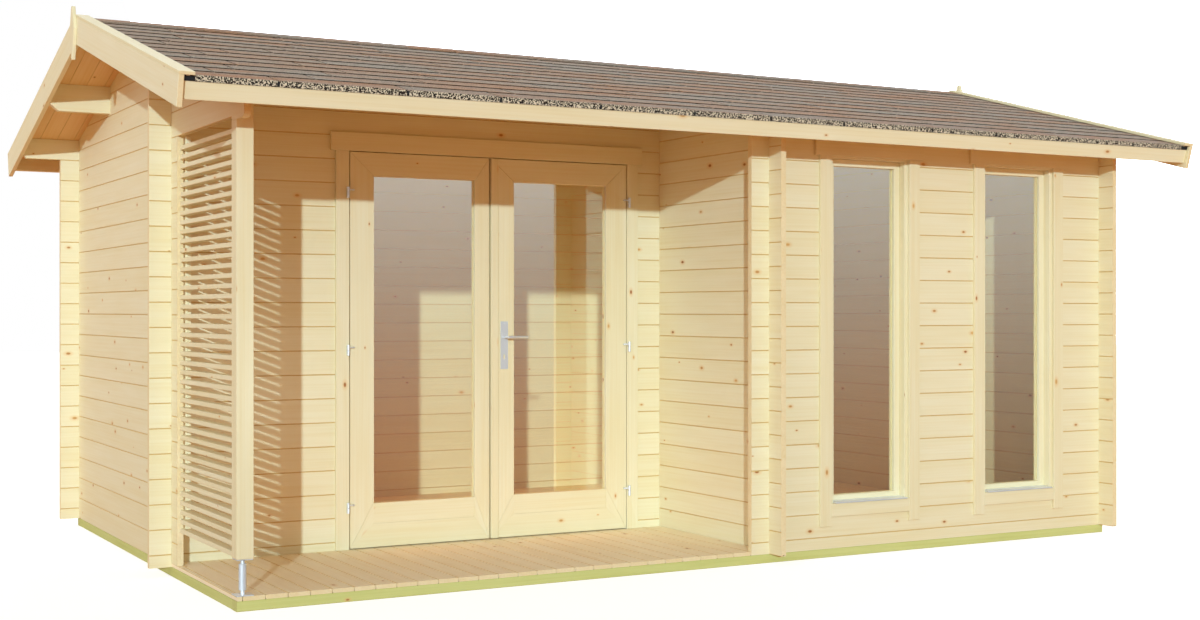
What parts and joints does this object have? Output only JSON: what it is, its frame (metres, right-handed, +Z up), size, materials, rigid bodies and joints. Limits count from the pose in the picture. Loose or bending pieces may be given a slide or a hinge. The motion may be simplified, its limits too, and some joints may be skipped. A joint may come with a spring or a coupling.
{
  "type": "log cabin",
  "caption": "Log cabin of interlocking spruce logs with a recessed corner terrace, a louvre screen, glazed hinged doors, tall windows and a low shingled gable roof.",
  "frame": {"origin": "on the ground under the middle of the roof, at the bottom centre of the bounding box", "axes": "+X along the front to the right, +Y from the front to the rear, +Z up"},
  "size_m": [5.4586, 3.687, 2.6276],
  "materials": {
    "spruce": "planed bare spruce",
    "treated_timber": "pressure treated, green-yellow",
    "shingle": "mineral granules on bitumen felt",
    "steel": "galvanised and satin",
    "glass": "clear"
  },
  "bodies": {
    "root": {"base_beams": "treated_timber", "terrace_deck": "spruce", "room_floor": "spruce", "rear_wall": "spruce", "left_wall": "spruce", "left_gable": "spruce", "right_wall": "spruce", "right_gable": "spruce", "terrace_side_wall": "spruce", "front_wall_sill": "spruce", "front_wall_left_pier": "spruce", "front_wall_middle_pier": "spruce", "front_wall_right_pier": "spruce", "front_wall_head": "spruce", "door_wall_left_pier": "spruce", "door_wall_right_pier": "spruce", "door_wall_head": "spruce", "purlins": "spruce", "front_roof_boards": "spruce", "rear_roof_boards": "spruce", "barge_boards": "spruce", "verge_covers": "spruce", "gable_finials": "spruce", "eave_fascias": "spruce", "corner_post": "spruce", "louvre_screen": "spruce", "door_frame": "spruce", "door_sill": "spruce", "door_trim": "spruce", "window_frames": "spruce", "window_sashes": "spruce", "window_trim": "spruce", "front_shingles": "shingle", "rear_shingles": "shingle", "ridge_cap": "shingle", "post_foot": "steel", "frame_hinges": "steel", "window_drips": "steel", "window_glass": "glass"},
    "left_door": {"left_leaf_frame": "spruce", "left_leaf_glass": "glass", "left_leaf_hinges": "steel"},
    "right_door": {"right_leaf_frame": "spruce", "right_leaf_glass": "glass", "meeting_strip": "spruce", "right_leaf_hinges": "steel", "handle_plates": "steel"},
    "lever": {"handle_lever": "steel"}
  },
  "joints": [
    {"name": "left_door_hinge", "type": "hinge", "parent": "root", "child": "left_door", "pos_m": [-1.559, -0.531, 1.0125], "axis": [0, 0, -1], "range_deg": [0, 170]},
    {"name": "right_door_hinge", "type": "hinge", "parent": "root", "child": "right_door", "pos_m": [-0.009, -0.531, 1.0125], "axis": [0, 0, 1], "range_deg": [0, 100]},
    {"name": "lever_turn", "type": "hinge", "parent": "right_door", "child": "lever", "pos_m": [-0.731, -0.499, 1.068], "axis": [0, 1, 0], "range_deg": [0, 40], "stiffness_Nm_per_rad": 1.5, "springref_deg": -20.05}
  ]
}
